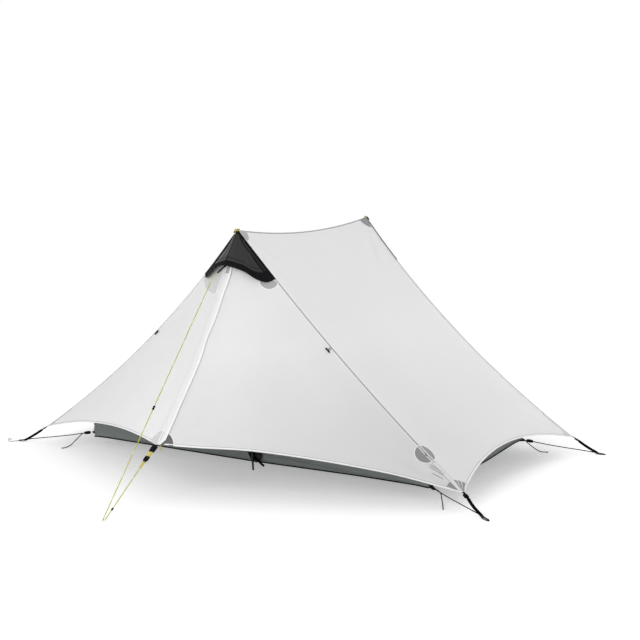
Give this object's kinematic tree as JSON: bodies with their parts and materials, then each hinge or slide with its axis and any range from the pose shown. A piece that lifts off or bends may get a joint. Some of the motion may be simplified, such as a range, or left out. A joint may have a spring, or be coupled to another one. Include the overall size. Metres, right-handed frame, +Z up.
{
  "type": "backpacking tent",
  "caption": "Pitched two-person backpacking tent: a pale fly over trekking poles with vented vestibules, zipped doors, a mesh inner and a bathtub floor, guyed and strapped out.",
  "frame": {"origin": "on the ground at the centre of the footprint", "axes": "+Z up, +X along the sleeping length, -Y towards the near vestibule"},
  "size_m": [2.9402, 3.401, 1.2567],
  "materials": {
    "fly_silnylon": "pale coated ripstop cloth, slightly glossy and slightly see-through",
    "hood_fabric": "charcoal coated cloth with black bound edges",
    "inner_mesh": "fine dark insect netting",
    "tub_fabric": "dark grey-green coated ripstop cloth",
    "yellow_webbing": "woven webbing",
    "black_webbing": "woven webbing",
    "zip_tape": "woven zip tape with coil teeth",
    "yellow_guy_line": "braided reflective cord",
    "black_cord": "braided cord",
    "black_plastic": "moulded, lightly textured",
    "pole_alloy": "grey anodised tube",
    "pole_black_alloy": "black anodised tube with a rubber foot"
  },
  "bodies": {
    "pitched_tent": {"far_apex_guy": "yellow_guy_line", "far_apex_loop": "yellow_webbing", "far_fixed_panel": "fly_silnylon", "far_fly_zip": "zip_tape", "far_hem_buckle": "black_plastic", "far_hip_panel": "fly_silnylon", "far_inner_fixed_wall": "inner_mesh", "far_left_corner_cord": "black_cord", "far_left_corner_strap": "black_webbing", "far_left_hip_toggle": "black_plastic", "far_left_ladder_buckle": "black_plastic", "far_pole_tab": "black_webbing", "far_pole_upper_tube": "pole_alloy", "far_right_corner_cord": "black_cord", "far_right_corner_strap": "black_webbing", "far_right_hip_toggle": "black_plastic", "far_right_ladder_buckle": "black_plastic", "far_vent_hood": "hood_fabric", "far_vestibule_cord": "yellow_guy_line", "floor_tub": "tub_fabric", "fly_end_left": "fly_silnylon", "fly_end_right": "fly_silnylon", "inner_end_wall_left": "inner_mesh", "inner_end_wall_right": "inner_mesh", "near_apex_guy": "yellow_guy_line", "near_apex_loop": "yellow_webbing", "near_fixed_panel": "fly_silnylon", "near_fly_zip": "zip_tape", "near_hem_buckle": "black_plastic", "near_hip_panel": "fly_silnylon", "near_inner_fixed_wall": "inner_mesh", "near_left_corner_cord": "black_cord", "near_left_corner_strap": "black_webbing", "near_left_hip_toggle": "black_plastic", "near_left_ladder_buckle": "black_plastic", "near_pole_tab": "black_webbing", "near_pole_upper_tube": "pole_alloy", "near_right_corner_cord": "black_cord", "near_right_corner_strap": "black_webbing", "near_right_hip_toggle": "black_plastic", "near_right_ladder_buckle": "black_plastic", "near_vent_hood": "hood_fabric", "near_vestibule_cord": "yellow_guy_line"},
    "near_door": {"near_door_panel": "fly_silnylon"},
    "near_fly_slider": {"near_fly_zip_slider": "black_plastic"},
    "near_inner_door_leaf": {"near_inner_door": "inner_mesh"},
    "near_inner_slider": {"near_inner_zip_slider": "black_plastic"},
    "near_lower_pole": {"near_pole_lower_tube": "pole_black_alloy"},
    "near_lock_lever": {"near_pole_lock_lever": "black_plastic"},
    "near_tensioner": {"near_guy_tensioner": "black_plastic"},
    "near_cord_lock_body": {"near_cord_lock": "black_plastic"},
    "far_door": {"far_door_panel": "fly_silnylon"},
    "far_fly_slider": {"far_fly_zip_slider": "black_plastic"},
    "far_inner_door_leaf": {"far_inner_door": "inner_mesh"},
    "far_inner_slider": {"far_inner_zip_slider": "black_plastic"},
    "far_lower_pole": {"far_pole_lower_tube": "pole_black_alloy"},
    "far_lock_lever": {"far_pole_lock_lever": "black_plastic"},
    "far_tensioner": {"far_guy_tensioner": "black_plastic"},
    "far_cord_lock_body": {"far_cord_lock": "black_plastic"}
  },
  "joints": [
    {"name": "near_door_swing", "type": "hinge", "parent": "pitched_tent", "child": "near_door", "pos_m": [0.037, -0.76723, 0.97675], "axis": [-0.8177, -0.055, 0.573], "range_deg": [0, 110]},
    {"name": "near_zip_travel", "type": "hinge", "parent": "pitched_tent", "child": "near_fly_slider", "pos_m": [0.02, -4.10584, 2.92679], "axis": [1, 0, 0], "range_deg": [0, 11.2]},
    {"name": "near_inner_door_swing", "type": "hinge", "parent": "pitched_tent", "child": "near_inner_door_leaf", "pos_m": [0, -0.6, 1.12], "axis": [0.7461, 0.0267, -0.6653], "range_deg": [0, 45]},
    {"name": "near_inner_zip_travel", "type": "slide", "parent": "pitched_tent", "child": "near_inner_slider", "axis": [0, -0.0401, 0.9992], "range_m": [0, 0.8]},
    {"name": "near_pole_telescope", "type": "slide", "parent": "pitched_tent", "child": "near_lower_pole", "axis": [-0.0312, -0.0583, 0.9978], "range_m": [0, 0.25]},
    {"name": "near_lock_lever_swing", "type": "hinge", "parent": "pitched_tent", "child": "near_lock_lever", "pos_m": [0.02906, -0.6228, 0.63861], "axis": [-0.0312, -0.0583, 0.9978], "range_deg": [0, 110]},
    {"name": "near_guy_adjust", "type": "slide", "parent": "pitched_tent", "child": "near_tensioner", "axis": [0, 0.6349, 0.7726], "range_m": [-0.5, 0.75]},
    {"name": "near_cord_adjust", "type": "slide", "parent": "pitched_tent", "child": "near_cord_lock_body", "axis": [0, 0.799, 0.6014], "range_m": [-0.03, 0.23]},
    {"name": "far_door_swing", "type": "hinge", "parent": "pitched_tent", "child": "far_door", "pos_m": [-0.037, 0.76723, 0.97675], "axis": [0.8177, 0.055, 0.573], "range_deg": [0, 110]},
    {"name": "far_zip_travel", "type": "hinge", "parent": "pitched_tent", "child": "far_fly_slider", "pos_m": [-0.02, 4.10584, 2.92679], "axis": [-1, 0, 0], "range_deg": [0, 11.2]},
    {"name": "far_inner_door_swing", "type": "hinge", "parent": "pitched_tent", "child": "far_inner_door_leaf", "pos_m": [0, 0.6, 1.12], "axis": [-0.7461, -0.0267, -0.6653], "range_deg": [0, 45]},
    {"name": "far_inner_zip_travel", "type": "slide", "parent": "pitched_tent", "child": "far_inner_slider", "axis": [0, 0.0401, 0.9992], "range_m": [0, 0.8]},
    {"name": "far_pole_telescope", "type": "slide", "parent": "pitched_tent", "child": "far_lower_pole", "axis": [0.0312, 0.0583, 0.9978], "range_m": [0, 0.25]},
    {"name": "far_lock_lever_swing", "type": "hinge", "parent": "pitched_tent", "child": "far_lock_lever", "pos_m": [-0.02906, 0.6228, 0.63861], "axis": [0.0312, 0.0583, 0.9978], "range_deg": [0, 110]},
    {"name": "far_guy_adjust", "type": "slide", "parent": "pitched_tent", "child": "far_tensioner", "axis": [0, -0.6349, 0.7726], "range_m": [-0.5, 0.75]},
    {"name": "far_cord_adjust", "type": "slide", "parent": "pitched_tent", "child": "far_cord_lock_body", "axis": [0, -0.799, 0.6014], "range_m": [-0.03, 0.23]}
  ],
  "couplings": [
    {"joint": "near_zip_travel", "follows": "near_door_swing", "ratio": 0.1},
    {"joint": "near_inner_zip_travel", "follows": "near_inner_door_swing", "m_per_rad": 1},
    {"joint": "far_zip_travel", "follows": "far_door_swing", "ratio": 0.1},
    {"joint": "far_inner_zip_travel", "follows": "far_inner_door_swing", "m_per_rad": 1}
  ]
}
